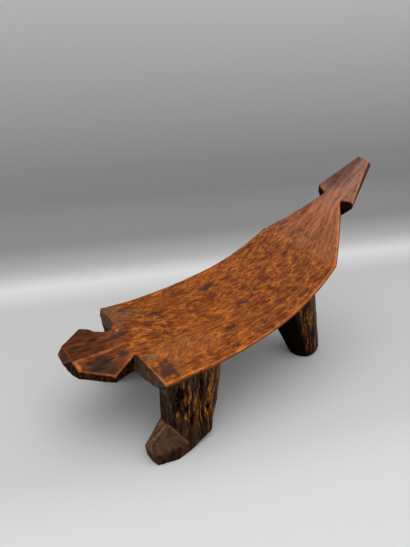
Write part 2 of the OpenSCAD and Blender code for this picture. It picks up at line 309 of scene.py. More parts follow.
def patches(seat, places, seed, waver):
    """How far inside one of the patches each point lies; their edges waver."""
    inside = np.zeros(len(seat))
    for middle, size in places:
        away = np.linalg.norm((seat - np.array(middle)) / np.array(size), axis=1)
        near = np.flatnonzero(away < 1.8)
        edge = away[near] + waver * wobble(seat[near], Vector(size) * 0.45, seed)
        inside[near] = np.maximum(inside[near], 1 - smooth_step(0.55, 1.15, edge))
    return inside


def strongest(*shares):
    """The greatest of several shares at each point."""
    return np.maximum.reduce(shares)


def marks(u, v, length, width, seed):
    """Scoops of a blade: how near each point lies to the ridge between two, and its scoop's lot."""
    rows = u / length
    columns = v / width
    low = np.array([math.floor(rows.min()) - 2, math.floor(columns.min()) - 2])
    size = np.array([math.ceil(rows.max()) + 3, math.ceil(columns.max()) + 3]) - low
    lots = np.random.default_rng(seed).random((size[0], size[1], 3))
    row = np.floor(rows).astype(int)
    column = np.floor(columns).astype(int)
    nearest = np.full(len(u), 9.0)
    second = np.full(len(u), 9.0)
    lot = np.zeros(len(u))
    for step in np.ndindex(3, 3):
        i = row + step[0] - 1
        j = column + step[1] - 1
        own = lots[i - low[0], j - low[1]]
        # Every second row is set off sideways, and each scoop a little at random
        away = np.hypot(rows - i - 0.5 - (own[:, 0] - 0.5) * 0.9,
                        columns - j - 0.25 - 0.5 * (i % 2) - (own[:, 1] - 0.5) * 0.8)
        closer = away < nearest
        second = np.where(closer, nearest, np.minimum(second, away))
        lot = np.where(closer, own[:, 2], lot)
        nearest = np.minimum(nearest, away)
    return second - nearest, lot


def line_distance(across, along, line):
    """Signed distance, measured across, from a straight line between two places."""
    (a0, b0), (a1, b1) = line
    share = (along - b0) / (b1 - b0)
    return across - a0 - share * (a1 - a0)


def course_on_top(seat, on_top):
    """Places along and across the top; the lines along it follow the outline of seat and tail."""
    reach = seat[on_top]
    stations = np.linspace(reach[:, 0].min(), reach[:, 0].max(), STATIONS)
    bins = np.digitize(reach[:, 0], stations)
    centres = (stations[1:] + stations[:-1]) / 2
    heights = np.array([np.median(reach[bins == k + 1, 2]) for k in range(len(centres))])
    widths = np.array([np.abs(reach[bins == k + 1, 1]).max() for k in range(len(centres))])
    widths[centres < SHOULDERS] = widths[centres > SHOULDERS][0]
    widths = np.maximum(widths, widths.max() * NARROWEST)
    steps = np.hypot(np.diff(centres), np.diff(heights))
    along = np.interp(seat[:, 0], centres, np.concatenate([[0], np.cumsum(steps)]))
    return along, seat[:, 1] * widths.max() / np.interp(seat[:, 0], centres, widths)


def wear_the_shoulder(surface, nearest):
    """Draws the softened block back to its sharp shape, apart from the shoulder that is worn."""
    sharp = nearest + KEPT_SOFTNESS * (surface.points - nearest)
    middle = np.array(WORN_SHOULDER) + np.array([FRONT, 0])
    off = sharp[:, :2] - middle
    away = np.hypot(*off.T)
    radius = WORN_RADIUS + 0.0006 * wobble(sharp, (0.006, 0.006, 0.004), 11)
    corner = (off[:, 0] < 0) & (off[:, 1] > 0) & (away > radius)
    share = corner * smooth_step(0.055, 0.08, sharp[:, 2]) * (1 - radius / np.maximum(away, 1e-9))
    sharp[:, :2] -= off * share[:, None]
    surface.move(sharp)
    surface.move(surface.spread(surface.points, 1))


def on_rear_root(seat, z):
    """Whether each point lies on the side or the ledge of the rear leg's root."""
    middle = (np.abs(seat[:, 1]) < REAR_ROOT_HALF) & (seat[:, 0] > BETWEEN_LEGS)
    column = np.digitize(seat[:, 0], np.arange(BETWEEN_LEGS, REAR_ROOT_END, 0.004))
    highest = np.zeros(column.max() + 1)
    np.maximum.at(highest, column[middle], seat[middle, 2])
    below = (z < FACES_UP) | (seat[:, 2] < highest[column] - LEDGE_DEPTH)
    return middle & below & (seat[:, 2] < REAR_ROOT_TOP)


def golden_share(leg, rear_leg, seat, foot_x, z, outward, rightward):
    """How golden the streaks are: on the legs' outer sides, less so on the feet, and on the rear leg a
    painted light on its right-hand side, turned to the light.
    """
    front = (leg & (outward > 0.6) & (z < 0.3)) * smooth_step(-0.004, 0.014, foot_x)
    front = front * (0.1 + 0.3 * smooth_step(0.012, 0.018, seat[:, 2])
                     + 0.6 * smooth_step(0.015, 0.045, seat[:, 2]))
    # On the rear leg, painted light on the side turned to the lamp
    return np.where(rear_leg, 0.7 * smooth_step(0.0, 0.45, rightward), front)


def regions(surface, member, seat):
    """Which look each point of the block has, from 0 to 1."""
    x, y, z = surface.normals.T
    outward = y * np.sign(seat[:, 1])
    # Towards the right-hand side of the photograph
    rightward = x * math.cos(EYE_TURN) - y * math.sin(EYE_TURN)

    top_member = np.isin(member, TOP_NODES)
    head_member = np.isin(member, ("head", "neck"))
    under = top_member & (z < FACES_DOWN)
    rear_root = on_rear_root(seat, z)
    rear_leg = (member == "rear_leg") | rear_root & ~under
    low = ((seat[:, 2] < ROOT_TOP) | rear_root) & ~head_member
    leg = ~top_member | low & (z > FACES_DOWN)

    foot = np.char.startswith(member, "front_foot")
    foot_rim = foot & (seat[:, 2] < FOOT_RIM)
    foot_x = seat[:, 0] - RIGHT_FOOT_BACK * (seat[:, 1] > 0)
    behind_toe = line_distance(foot_x, seat[:, 2], TOE_LINE)
    toe = foot & ~foot_rim & (behind_toe < 0)
    toe_line = foot & ~foot_rim & (outward > 0.3) & (np.abs(behind_toe) < TOE_LINE_HALF)

    # How dark each part is painted, as painted shade on faces turned from the light or hidden under the
    # stool: the arrow head's end faces, the undersides, the rear leg's left-hand side, the sides of the
    # tail and the head, the feet's rims by the floor, and the front legs' front, back and inner faces;
    # where two of them meet, the first one counts
    shade_and_dark_wood = (
        ((member == "tail_arrow") & (x < -0.45) & (z < 0.45), 1.0),
        (under, 0.9),
        (rear_leg, 0.97 * smooth_step(0.45, 0.0, rightward)),
        (np.isin(member, ("tail", "tail_arrow")) & (z < FACES_UP), 0.7),
        (head_member & (z < FACES_UP), 0.95),
        (foot_rim, 0.25),
        (np.isin(member, FRONT_LEG_NODES) & (outward < 0.5) & ~toe, 0.6),
    )
    golden = golden_share(leg, rear_leg, seat, foot_x, z, outward, rightward)
    raw = (seat[:, 0] < END_DEPTH) & (x < -0.6) & ~head_member | toe
    return {
        "top": surface.spread(top_member & (z > FACES_UP) & ~low, 2),
        "leg": surface.spread(leg, 3),
        "toe": surface.spread(toe, 3),
        "raw": surface.spread(raw, 2),
        "golden": surface.spread(golden, 3),
        "shade_and_dark_wood": surface.spread(np.select(*zip(*shade_and_dark_wood)), 3),
        "ochre": surface.spread(toe & (outward < 0.5), 1),
        "head": surface.spread(head_member & (z > FACES_UP), 2),
        "toe_line": surface.spread(toe_line, 1),
    }


def worn_edges(surface, seat, area):
    """Where edges are worn light, which on the near side is partly a painted highlight, where the far
    edges get painted shade instead, and the painted shade in creases.
    """
    stands_out = np.einsum("ij,ij->i", surface.points - surface.spread(surface.points, 5),
                           surface.normals)
    # Convex edges are worn light, partly a painted highlight, which the far side's edges lose below
    edge_wear_and_highlight = smooth_step(0.0001, 0.00032, surface.spread(stands_out, 1))
    edge_wear_and_highlight *= 0.5 + 0.5 * smooth_step(-0.35, 0.25, wobble(surface.points, 0.009, 23))
    edge_wear_and_highlight *= 1 - 0.6 * area["head"]
    edge_wear_and_highlight *= np.maximum(surface.spread(area["top"], 3) > 0.03, 0.12 * (area["toe"] > 0.03))
    # The far side's edges, turned from the light, get painted shade instead of worn light
    far_side = smooth_step(0.05, 0.35, surface.spread(surface.normals, 3)[:, 1])
    edge_wear_and_highlight *= 1 - 0.9 * far_side * (seat[:, 1] > 0)
    edge_wear_and_highlight *= smooth_step(0.008, 0.03, np.hypot(seat[:, 0], seat[:, 1] - 0.07))
    far_edge_shade = 0.6 * far_side * area["top"] * (seat[:, 1] > 0)
    # Painted shade in the creases, where the surface curves in
    crease_shade = smooth_step(0.0001, 0.0005, -surface.spread(stands_out, 2))
    return edge_wear_and_highlight, far_edge_shade, crease_shade


def adze_marks(surface, seat, area, along, across):
    """Long strokes on the shoulders and round scoops towards the tail.

    Gives the depth of the scoops, the ridges between them and the dark ones among them.
    """
    points = surface.points
    u = along + 0.004 * wobble(points, 0.02, 1) + 0.003 * wobble(points, 0.007, 20)
    v = across + 0.0025 * wobble(points, (0.03, 0.015, 0.03), 2) + 0.12 * (along - 0.15)
    v += 0.002 * wobble(points, (0.009, 0.006, 0.009), 21)
    rear = smooth_step(0.06, 0.22, seat[:, 0] + 0.06 * wobble(points, (0.04, 0.03, 0.04), 9))
    # The tail and the head are smoother
    marked = area["top"] * (1 - 0.55 * smooth_step(*TAIL_START, seat[:, 0]))
    marked = marked * (1 - 0.6 * area["head"])
    scoop = np.zeros(surface.count)
    ridge = np.zeros(surface.count)
    dark = np.zeros(surface.count)
    for (length, width), seed, share in ((STROKE, 3, 1 - 0.8 * rear), (SCOOP, 8, 0.35 + 0.65 * rear)):
        edge, lot = marks(u, v, length, width, seed)
        inside = marked * share * smooth_step(0.02, 0.6, edge)
        scoop = np.maximum(scoop, inside * (0.3 + 0.7 * lot))
        ridge = np.maximum(ridge, marked * share * (1 - smooth_step(0.02, 0.26, edge)))
        dark = np.maximum(dark, inside * smooth_step(0.7, 1.0, lot))
    return scoop, ridge, surface.spread(dark, 3)


def place_round_leg(points, seat, member):
    """How far round its leg each point lies; the rear leg leans."""
    rear_leg = member == "rear_leg"
    lean = np.polyfit(points[rear_leg, 2], seat[rear_leg, 0], 1)
    middle_x, middle_y = LEG_MIDDLE
    return np.where(
        seat[:, 0] > BETWEEN_LEGS,
        np.arctan2(points[:, 1], seat[:, 0] - np.polyval(lean, points[:, 2])),
        np.arctan2(points[:, 1] - np.sign(points[:, 1]) * middle_y, seat[:, 0] - middle_x)) * LEG_RADIUS


def cut_depth(points, area, spots, scoop, edge_wear_and_highlight, turn):
    """How deep the tools and the years have cut into each point."""
    leg, raw = area["leg"], area["raw"]
    down = points[:, 2] + 0.004 * wobble(points, (0.01, 0.01, 0.03), 4)
    edge, lot = marks(down, turn, *LEG_CUT, 5)
    cut = smooth_step(0.02, 0.5, edge) * (0.3 + 0.7 * lot)
    depth = SCOOP_DEPTH * scoop
    depth += (LEG_CUT_DEPTH * leg * (1 - raw) * cut + KNOT_DEPTH * spots["knots"]
              + CHIP_DEPTH * spots["chips"] * area["top"])
    depth += RAW_DEPTH * raw * (wobble(points, (0.004, 0.0025, 0.007), 6) + 1)
    depth += SWELL_DEPTH * wobble(points, 0.03, 7) * np.where(leg > 0.5, 1, 0.3)
    depth += PITTED_DEPTH * spots["grey"] * (wobble(points, 0.003, 16) + 1)
    depth *= 1 - 0.6 * edge_wear_and_highlight
    # The sole stays flat on the floor, and nothing stands out past the solid's own shape
    return np.maximum(depth, 0) * smooth_step(0.0004, 0.003, points[:, 2])


def dark_facets(points, seat, area):
    """How dark the head's facets are, from their own dark wood and painted shade on the far facet, and
    the painted shade on the arrow head's right half.
    """
    # The far facet of the head is darker than the near one, as painted shade
    mottled = 0.48 + 0.16 * smooth_step(-0.02, 0.0, seat[:, 1])
    mottled += 0.3 * wobble(points, (0.012, 0.006, 0.012), 24)
    # The head is less dark towards the seat
    head = area["head"] * smooth_step(0.0, -0.035, seat[:, 0]) * mottled
    arrow = smooth_step(0, 0.02, points[:, 0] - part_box("tail_arrow")[0].x)
    # The arrow head's right half, turned from the light, gets painted shade
    return np.maximum(head, 0.4 * area["top"] * arrow * smooth_step(-0.003, 0.003, seat[:, 1]))


def worn_ridge(points, seat, area):
    """How near each point of the head lies to its worn ridge."""
    off = np.abs(line_distance(seat[:, 1] + 0.002 * wobble(points, 0.02, 1), seat[:, 0], RIDGE_LINE))
    off += 0.003 * np.abs(wobble(points, 0.012, 22))
    return area["head"] * (1 - smooth_step(0.0004, 0.0045, off))


def carve(surface, member):
    """Cuts the marks of the tools into the block, and keeps what the finish needs to know."""
    points, normals = surface.points, surface.normals
    seat = points - np.array([FRONT, 0, 0])
    area = regions(surface, member, seat)
    top, leg, raw = area["top"], area["leg"], area["raw"]
    spots = {name: patches(seat, *row) for name, row in PATCHES.items()}

    along, across = course_on_top(seat, top > 0.9)
    turn = place_round_leg(points, seat, member)
    edge_wear_and_highlight, far_edge_shade, crease_shade = worn_edges(surface, seat, area)
    scoop, ridge, dark = adze_marks(surface, seat, area, along, across)
    depth = cut_depth(points, area, spots, scoop, edge_wear_and_highlight, turn)
    surface.move(points - normals * depth[:, None])

    # Worn light, partly a painted highlight: the worn edges, the head's worn ridge and the painted
    # highlight on its near front corner
    worn = strongest(edge_wear_and_highlight, 0.5 * worn_ridge(points, seat, area), 0.6 * spots["pale"] * top)
    # Painted shade, with the painted shade in creases and on the far edges, and the dark of the black
    # knots and of the head's facets
    shade_and_dark_wood = strongest(area["shade_and_dark_wood"], crease_shade * 0.6, spots["knots"], dark_facets(points, seat, area),
                      far_edge_shade)
    greyish = strongest(spots["grey"] * top, 0.9 * area["toe_line"], 0.9 * area["ochre"],
                        0.6 * raw * (seat[:, 1] > 0.04))
    # Along the legs and the end faces the lines run down, and on the top lengthwise
    upright = np.maximum(leg, raw)[:, None]
    flat_course = np.stack([along, across, points[:, 2]], 1)
    leg_course = np.stack([points[:, 2], np.where(raw > 0.5, seat[:, 1], turn), seat[:, 0]], 1)
    return {
        "carved": (dark, ridge, worn),
        "place": (top, leg, raw),
        "spots": (spots["scratched"] * top, spots["stains"] * top, spots["chips"] * top),
        "sides": (area["golden"], shade_and_dark_wood, greyish),
        "course": np.where(upright > 0.5, leg_course, flat_course).T,
    }


def write_looks(mesh, looks):
    """Keeps the looks on the points of the mesh, three to a layer."""
    for name, values in looks.items():
        layer = mesh.attributes.new(name, "FLOAT_VECTOR", "POINT")
        layer.data.foreach_set("vector", np.stack(values, 1).astype(np.float32).ravel())


def seam(node, carrier, trees, step):
    """The plane on which a member meets the one that carries it, facing into the member."""
    shared = []
    for own, other in ((node, carrier), (carrier, node)):
        for vertex in frame["nodes"][own].data.vertices:
            if trees[other].find_nearest(vertex.co)[3] < TOUCH:
                shared.append(vertex.co)
    shared = np.array(shared)
    centre = shared.mean(0)
    normal = np.linalg.svd(shared - centre)[2][2]
    low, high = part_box(node)
    normal *= np.sign(normal @ ((np.array(low) + np.array(high)) / 2 - centre))
    reach = np.linalg.norm(shared - centre, axis=1).max() + SEAM_MARGIN
    return centre + normal * step, normal, reach


def cut_at_seams(mesh, trees):
    """Parts the mesh along every seam, and keeps the smooth normals that it had before."""
    block = bmesh.new()
    block.from_mesh(mesh)
    edges = []
    for node, carrier, step in SEAMS:
        centre, normal, reach = seam(node, carrier, trees, step)
        geometry = set()
        for face in block.faces:
            if (face.verts[0].co - Vector(centre)).length < reach:
                geometry.update([face, *face.verts, *face.edges])
        cut = bmesh.ops.bisect_plane(
            block, geom=list(geometry), dist=1e-7, plane_co=centre, plane_no=normal)["geom_cut"]
        edges += [e for e in cut if isinstance(e, bmesh.types.BMEdge)]
    block.normal_update()
    smooth = block.verts.layers.float_vector.new("smooth_normal")
    for vertex in block.verts:
        vertex[smooth] = vertex.normal
    bmesh.ops.split_edges(block, edges=edges)
    return block


def number_islands(block):
    """Gives every group of faces that hang together its own number."""
    layer = block.faces.layers.int.new("island")
    count = 0
    for start in block.faces:
        if start[layer]:
            continue
        count += 1
        start[layer] = count
        group = [start]
        for face in group:
            for edge in face.edges:
                for other in edge.link_faces:
                    if not other[layer]:
                        other[layer] = count
                        group.append(other)
    return count


def closed_piece(parted, island):
    """One island of the parted mesh, closed with flat faces where it was cut."""
    piece = bmesh.new()
    piece.from_mesh(parted)
    layer = piece.faces.layers.int["island"]
    bmesh.ops.delete(piece, geom=[f for f in piece.faces if f[layer] != island], context="FACES")
    rims = [e for e in piece.edges if e.is_boundary]
    for cap in bmesh.ops.holes_fill(piece, edges=rims, sides=0)["faces"]:
        cap[layer] = 0
    mesh = bpy.data.meshes.new("piece")
    piece.to_mesh(mesh)
    piece.free()
    return mesh


def keep_smooth_normals(mesh):
    """Shades the piece as if it was still part of the block, apart from its flat cuts."""
    vertex_normals = mesh_values(mesh.attributes["smooth_normal"].data, "vector", 3)
    corners = mesh_values(mesh.loops, "vertex_index", 1, int)[:, 0]
    normals = vertex_normals[corners]
    for face in mesh.polygons:
        if mesh.attributes["island"].data[face.index].value == 0:
            normals[face.loop_start:face.loop_start + face.loop_total] = face.normal
    mesh.polygons.foreach_set("use_smooth", np.ones(len(mesh.polygons), bool))
    mesh.normals_split_custom_set(normals.tolist())
    mesh.attributes.remove(mesh.attributes["smooth_normal"])
    mesh.attributes.remove(mesh.attributes["island"])


def make_pieces(mesh, trees):
    """Divides the carved block into its members, each a closed piece that stands for its node."""
    block = cut_at_seams(mesh, trees)
    count = number_islands(block)
    parted = bpy.data.meshes.new("parted")
    block.to_mesh(parted)
    block.free()
    slots = {row["node"]: row["material_slot"] for row in frame["record"]["subparts"]}
    finishes = {slot: carved_wood(slot) for slot in sorted(set(slots.values()))}
    for island in range(1, count + 1):
        shape = closed_piece(parted, island)
        points = mesh_values(shape.vertices, "co", 3)[::POINTS_PER_VOTE]
        found, votes = np.unique(nearest_members(points, trees)[0], return_counts=True)
        name = str(found[votes.argmax()])
        keep_smooth_normals(shape)
        piece = bpy.data.objects.new("carved_" + name, shape)
        bpy.context.scene.collection.objects.link(piece)
        shape.materials.append(finishes[slots[name]])
        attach(piece, "root")
        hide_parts(name)


def srgb(*levels):
    """A colour as it looks on a screen, from 0 to 255, as the shader takes it."""
    linear = [((c / 255 + 0.055) / 1.055) ** 2.4 if c > 10 else c / 255 / 12.92 for c in levels]
    return (*linear, 1)


class Nodes:
    """Adds and links the nodes of one material."""

    def __init__(self, name):
        self.material = bpy.data.materials.new(name)
        self.material.use_nodes = True
        self.tree = self.material.node_tree
        self.shader = self.tree.nodes["Principled BSDF"]
        place = self.tree.nodes.new("ShaderNodeTexCoord")
        self.place = place.outputs["Object"]

    def set(self, socket, value):
        if isinstance(value, bpy.types.NodeSocket):
            self.tree.links.new(value, socket)
        else:
            socket.default_value = value

    def math(self, operation, *values, clamp=False):
        """Numbers put through one operation."""
        node = self.tree.nodes.new("ShaderNodeMath")
        node.operation = operation
        node.use_clamp = clamp
        for socket, value in zip(node.inputs, values):
            self.set(socket, value)
        return node.outputs[0]

    def scaled(self, vector, x, y, z, turn=0):
        """A place turned about z, and then stretched along its axes."""
        for scale, angle in (((1, 1, 1), turn), ((x, y, z), 0)):
            node = self.tree.nodes.new("ShaderNodeMapping")
            self.set(node.inputs["Vector"], vector)
            node.inputs["Scale"].default_value = scale
            node.inputs["Rotation"].default_value = (0, 0, angle)
            vector = node.outputs[0]
        return vector

    def noise(self, scale, detail=3, vector=None, rough=0.5, distortion=0):
        """Soft noise from 0 to 1, in space unless another place is given."""
        node = self.tree.nodes.new("ShaderNodeTexNoise")
        self.set(node.inputs["Vector"], vector or self.place)
        self.set(node.inputs["Scale"], scale)
        node.inputs["Detail"].default_value = detail
        node.inputs["Roughness"].default_value = rough
        node.inputs["Distortion"].default_value = distortion
        return node.outputs["Fac"]

    def cells(self, vector, output):
        """One value of a pattern of cells: the distance from their middles, or a lot of each."""
        node = self.tree.nodes.new("ShaderNodeTexVoronoi")
        node.feature = "F1"
        self.set(node.inputs["Vector"], vector)
        node.inputs["Scale"].default_value = 1
        return node.outputs[output]

    def shaken(self, vector, scale, reach):
        """A place pushed about by noise, by up to half the reach each way."""
        noisy = self.tree.nodes.new("ShaderNodeTexNoise")
        self.set(noisy.inputs["Vector"], vector)
        noisy.inputs["Scale"].default_value = scale
        node = self.tree.nodes.new("ShaderNodeVectorMath")
        node.operation = "MULTIPLY_ADD"
        self.set(node.inputs[0], noisy.outputs["Color"])
        node.inputs[1].default_value = (reach, reach, reach)
        self.set(node.inputs[2], vector)
        return node.outputs[0]

    def ramp(self, value, *stops):
        """Colours, or numbers, at rising values."""
        node = self.tree.nodes.new("ShaderNodeValToRGB")
        self.set(node.inputs[0], value)
        elements = node.color_ramp.elements
        while len(elements) < len(stops):
            elements.new(0.5)
        for element, (position, colour) in zip(elements, stops):
            element.position = position
            element.color = colour if isinstance(colour, tuple) else (colour, colour, colour, 1)
        return node.outputs[0]

    def mix(self, factor, first, second):
        """Two colours mixed; the node has its sockets for colours behind those for numbers."""
        node = self.tree.nodes.new("ShaderNodeMix")
        node.data_type = "RGBA"
        self.set(node.inputs["Factor"], factor)
        self.set(node.inputs[6], first)
        self.set(node.inputs[7], second)
        return node.outputs[2]

    def layer(self, name):
        """A layer of values that the mesh keeps on its points."""
        node = self.tree.nodes.new("ShaderNodeAttribute")
        node.attribute_name = name
        return node.outputs["Vector"]

    def parts(self, vector):
        """The three numbers of a place, a colour or a layer."""
        node = self.tree.nodes.new("ShaderNodeSeparateXYZ")
        self.set(node.inputs[0], vector)
        return node.outputs

    def bump(self, height, depth):
        """Lets the shader show relief that is too fine for the mesh."""
        node = self.tree.nodes.new("ShaderNodeBump")
        self.set(node.inputs["Height"], height)
        node.inputs["Strength"].default_value = 1
        node.inputs["Distance"].default_value = depth
        self.set(self.shader.inputs["Normal"], node.outputs[0])


# Colours of the top's wood, darker and lighter, from the shoulders to the arrow head; the pale pinkish
# tones of the tail and the arrow head are partly a painted sheen
WAXED = (srgb(92, 37, 9), srgb(128, 62, 13))
DULL = (srgb(96, 44, 22), srgb(122, 62, 34))
TAIL_AND_SHEEN = (srgb(102, 54, 38), srgb(182, 114, 84))
ARROW_AND_SHEEN = (srgb(82, 60, 52), srgb(124, 94, 88))
# Where along the top each of the last three takes over, and how much
DULL_FROM = ((0.18, 0.0), (0.3, 1.0))
TAIL_FROM = ((0.32, 0.0), (0.4, 1.0))
ARROW_FROM = ((0.39, 0.0), (0.43, 0.85))
# Where along the top the blade's marks are strong
CARVED_FROM = ((0.05, 0.3), (0.09, 1.0), (0.33, 1.0), (0.39, 0.3))

# Colours of single marks on the top
DARK_THREAD = srgb(54, 22, 12)
LIGHT_THREAD = srgb(182, 106, 34)
DARK_GRAIN = srgb(66, 28, 14)
DARK_HOLLOW = srgb(54, 27, 24)
DARK_SCOOP = srgb(54, 29, 27)
BRIGHT_LINE = srgb(196, 116, 42)
RUBBED = srgb(180, 104, 44)
SCRATCH = srgb(62, 38, 28)
SCRATCH_TURN = math.radians(-43)
STAIN = srgb(54, 33, 30)
CHIP = srgb(196, 160, 136)

# Colours of the legs' streaks, by rising noise
PLAIN_STREAKS = ((0.36, srgb(12, 7, 4)), (0.5, srgb(42, 24, 11)), (0.66, srgb(78, 50, 25)))
GOLDEN_STREAKS = ((0.4, srgb(6, 4, 2)), (0.47, srgb(34, 15, 4)), (0.53, srgb(94, 50, 10)),
                  (0.61, srgb(150, 96, 28)), (0.72, srgb(222, 172, 88)))
LEG_SPECK = srgb(24, 12, 7)

# Colours of the sides, the raw end faces and toes, the greyish spots, the painted shade with the dark
# of the knots, and the worn edges with their painted highlight
SIDE = (srgb(84, 42, 16), srgb(158, 88, 38))
RAW_CUT = (srgb(38, 26, 20), srgb(96, 70, 52))
RAW_MOTTLE = srgb(46, 32, 28)
GREY_FLECK = srgb(116, 88, 60)
DARK_FLECK = srgb(46, 27, 22)
PAINTED_SHADE_COLOUR = srgb(10, 6, 5)
WORN_AND_HIGHLIT = srgb(210, 118, 56)

# How much each member's wood shines, and how deep its finest grain is
SHEEN = {"seat_wood": 0.08, "head_wood": 0.2, "tail_wood": 0.22, "leg_wood": 0.04}
GRAIN_DEPTH = 0.0004


def top_wood(look, course, along, grain):
    """Waxed orange-brown wood, redder and duller towards the tail, with fine threads along it."""
    swell = look.ramp(look.noise(1, 3, look.scaled(course, 22, 70, 20), 0.6), (0.35, 0.0), (0.65, 1.0))
    colour = look.mix(swell, *WAXED)
    for tones, stops in ((DULL, DULL_FROM), (TAIL_AND_SHEEN, TAIL_FROM), (ARROW_AND_SHEEN, ARROW_FROM)):
        colour = look.mix(look.ramp(along, *stops), colour, look.mix(swell, *tones))
    thread = look.noise(1, 4, look.scaled(look.shaken(course, 60, 0.008), 55, 560, 160), 0.7)
    colour = look.mix(look.ramp(thread, (0.34, 0.7), (0.48, 0.0)), colour, DARK_THREAD)
    colour = look.mix(look.ramp(thread, (0.53, 0.0), (0.68, 0.85)), colour, LIGHT_THREAD)
    return look.mix(look.ramp(grain, (0.5, 0.0), (0.68, 0.45)), colour, DARK_GRAIN)


def blade_marks(look, colour, course, along, dark, ridge):
    """Hollows of the blade, some of them dark, and the broken bright lines between them."""
    carved_here = look.ramp(along, *CARVED_FROM)
    net = look.scaled(look.shaken(course, 110, 0.012), 80, 150, 0)
    middle = look.ramp(look.cells(net, "Distance"), (0.15, 1.0), (0.5, 0.0))
    hollow = look.ramp(look.parts(look.cells(net, "Color"))[0], (0.72, 0.0), (1.0, 0.7))
    hollow = look.math("MULTIPLY", carved_here, look.math("MULTIPLY", hollow, middle))
    colour = look.mix(hollow, colour, DARK_HOLLOW)
    squiggle = look.noise(1, 2, look.scaled(look.shaken(course, 60, 0.01), 50, 130, 0))
    line = look.math("ABSOLUTE", look.math("SUBTRACT", squiggle, 0.5))
    line = look.math("MULTIPLY", look.ramp(line, (0.004, 0.9), (0.02, 0.0)), carved_here)
    line = look.math("MAXIMUM", line, look.math("MULTIPLY", ridge, 0.6))
    bright = look.math("MULTIPLY", line, look.ramp(look.noise(90, 2), (0.38, 0.0), (0.6, 0.95)))
    colour = look.mix(bright, colour, BRIGHT_LINE)
    return look.mix(look.math("MULTIPLY", dark, 0.7), colour, DARK_SCOOP)


def polished_top(look, course, carved, grain):
    """The seat's wood with the marks of the blade, scratches, stains and chips."""
    along = look.parts(course)[0]
    scratched, stain, chip = look.parts(look.layer("spots"))
    colour = top_wood(look, course, along, grain)
    colour = blade_marks(look, colour, course, along, *carved[:2])
    colour = look.mix(look.math("MULTIPLY", scratched, 0.4), colour, RUBBED)
    hatch = look.noise(1, 2, look.scaled(course, 70, 950, 60, SCRATCH_TURN))
    cuts = look.math("MULTIPLY", scratched, look.ramp(hatch, (0.49, 0.0), (0.56, 0.7)))
    colour = look.mix(cuts, colour, SCRATCH)
    colour = look.mix(look.math("MULTIPLY", stain, 0.82), colour, STAIN)
    return look.mix(look.math("MULTIPLY", chip, 0.8), colour, CHIP)


def streaked_leg(look, course, golden):
    """Dark wood with black and, on the outer sides, golden streaks down the leg; on the rear leg the
    golden side is a painted light.
    """
    place = look.shaken(course, 70, 0.008)
    streak = look.noise(1, 5, look.scaled(place, 26, 260, 30), 0.7)
    specks = look.noise(1, 3, look.scaled(place, 150, 560, 170), 0.6)
    colour = look.mix(golden, look.ramp(streak, *PLAIN_STREAKS), look.ramp(streak, *GOLDEN_STREAKS))
    return look.mix(look.ramp(specks, (0.48, 0.0), (0.6, 0.75)), colour, LEG_SPECK)


def raw_wood(look, course):
    """Dull grain of a cut across the wood, with dark blots."""
    colour = look.mix(look.noise(1, 4, look.scaled(course, 60, 320, 60)), *RAW_CUT)
    blots = look.ramp(look.noise(150, 3, None, 0.6), (0.42, 0.7), (0.56, 0.0))
    return look.mix(blots, colour, RAW_MOTTLE)


def greyish_flecks(look, colour, course, grey):
    """Light and dark flecks over the colour, where the wood is worn grey."""
    flecks = look.noise(1, 4, look.scaled(course, 140, 420, 200), 0.7)
    for fleck, stops in ((GREY_FLECK, ((0.44, 0.1), (0.56, 0.85))),
                         (DARK_FLECK, ((0.4, 0.8), (0.5, 0.0)))):
        colour = look.mix(look.math("MULTIPLY", grey, look.ramp(flecks, *stops)), colour, fleck)
    return colour


def carved_wood(name):
    """Old waxed hardwood: a worn, adze-marked top, streaked dark legs and raw cut ends."""
    look = Nodes(name)
    course = look.layer("course")
    carved = look.parts(look.layer("carved"))
    top, leg, raw = look.parts(look.layer("place"))
    golden, shade_and_dark_wood, grey = look.parts(look.layer("sides"))
    grain = look.noise(1, 5, look.scaled(course, 45, 700, 160), 0.6, 0.3)
    fine = look.noise(900, 4, None, 0.7)

    colour = look.mix(look.noise(1, 3, look.scaled(course, 40, 300, 300)), *SIDE)
    colour = look.mix(top, colour, polished_top(look, course, carved, grain))
    colour = look.mix(leg, colour, streaked_leg(look, course, golden))
    colour = look.mix(raw, colour, raw_wood(look, course))
    colour = greyish_flecks(look, colour, course, grey)
    # Painted shade, the black of the knots and the head's dark wood, varied along the grain
    shade_and_dark_wood = look.math("MULTIPLY", shade_and_dark_wood, look.ramp(grain, (0.36, 0.84), (0.6, 1.1)), clamp=True)
    colour = look.mix(shade_and_dark_wood, colour, PAINTED_SHADE_COLOUR)
    # Worn edges, partly a painted highlight
    worn = look.math("MULTIPLY", carved[2], look.ramp(look.noise(75, 3), (0.36, 0.3), (0.6, 0.95)))
    look.set(look.shader.inputs["Base Color"], look.mix(worn, colour, WORN_AND_HIGHLIT))

    rough = look.math("ADD", look.math("MULTIPLY", fine, 0.3), look.math("MULTIPLY", raw, 0.4))
    look.set(look.shader.inputs["Roughness"], look.ramp(rough, (0.0, 0.34), (0.7, 0.8)))
    shine = look.math("MULTIPLY", look.math("SUBTRACT", 1, shade_and_dark_wood), SHEEN[name])
    look.set(look.shader.inputs["Specular IOR Level"], shine)
    height = look.math("ADD", look.math("MULTIPLY", grain, 0.5), look.math("MULTIPLY", fine, 0.5))
    look.bump(height, GRAIN_DEPTH)
    return look.material


# The backdrop: a pale sheet on the floor that curves up into a wall behind the stool
BACKDROP_TURN = math.radians(18)
CURVE_START = 0.36
CURVE_RADIUS = 0.12
WALL_HEIGHT = 1.1
SHEET_HALF_WIDTH = 2.2
SHEET_FRONT = 1.6
CURVE_STEPS = 24
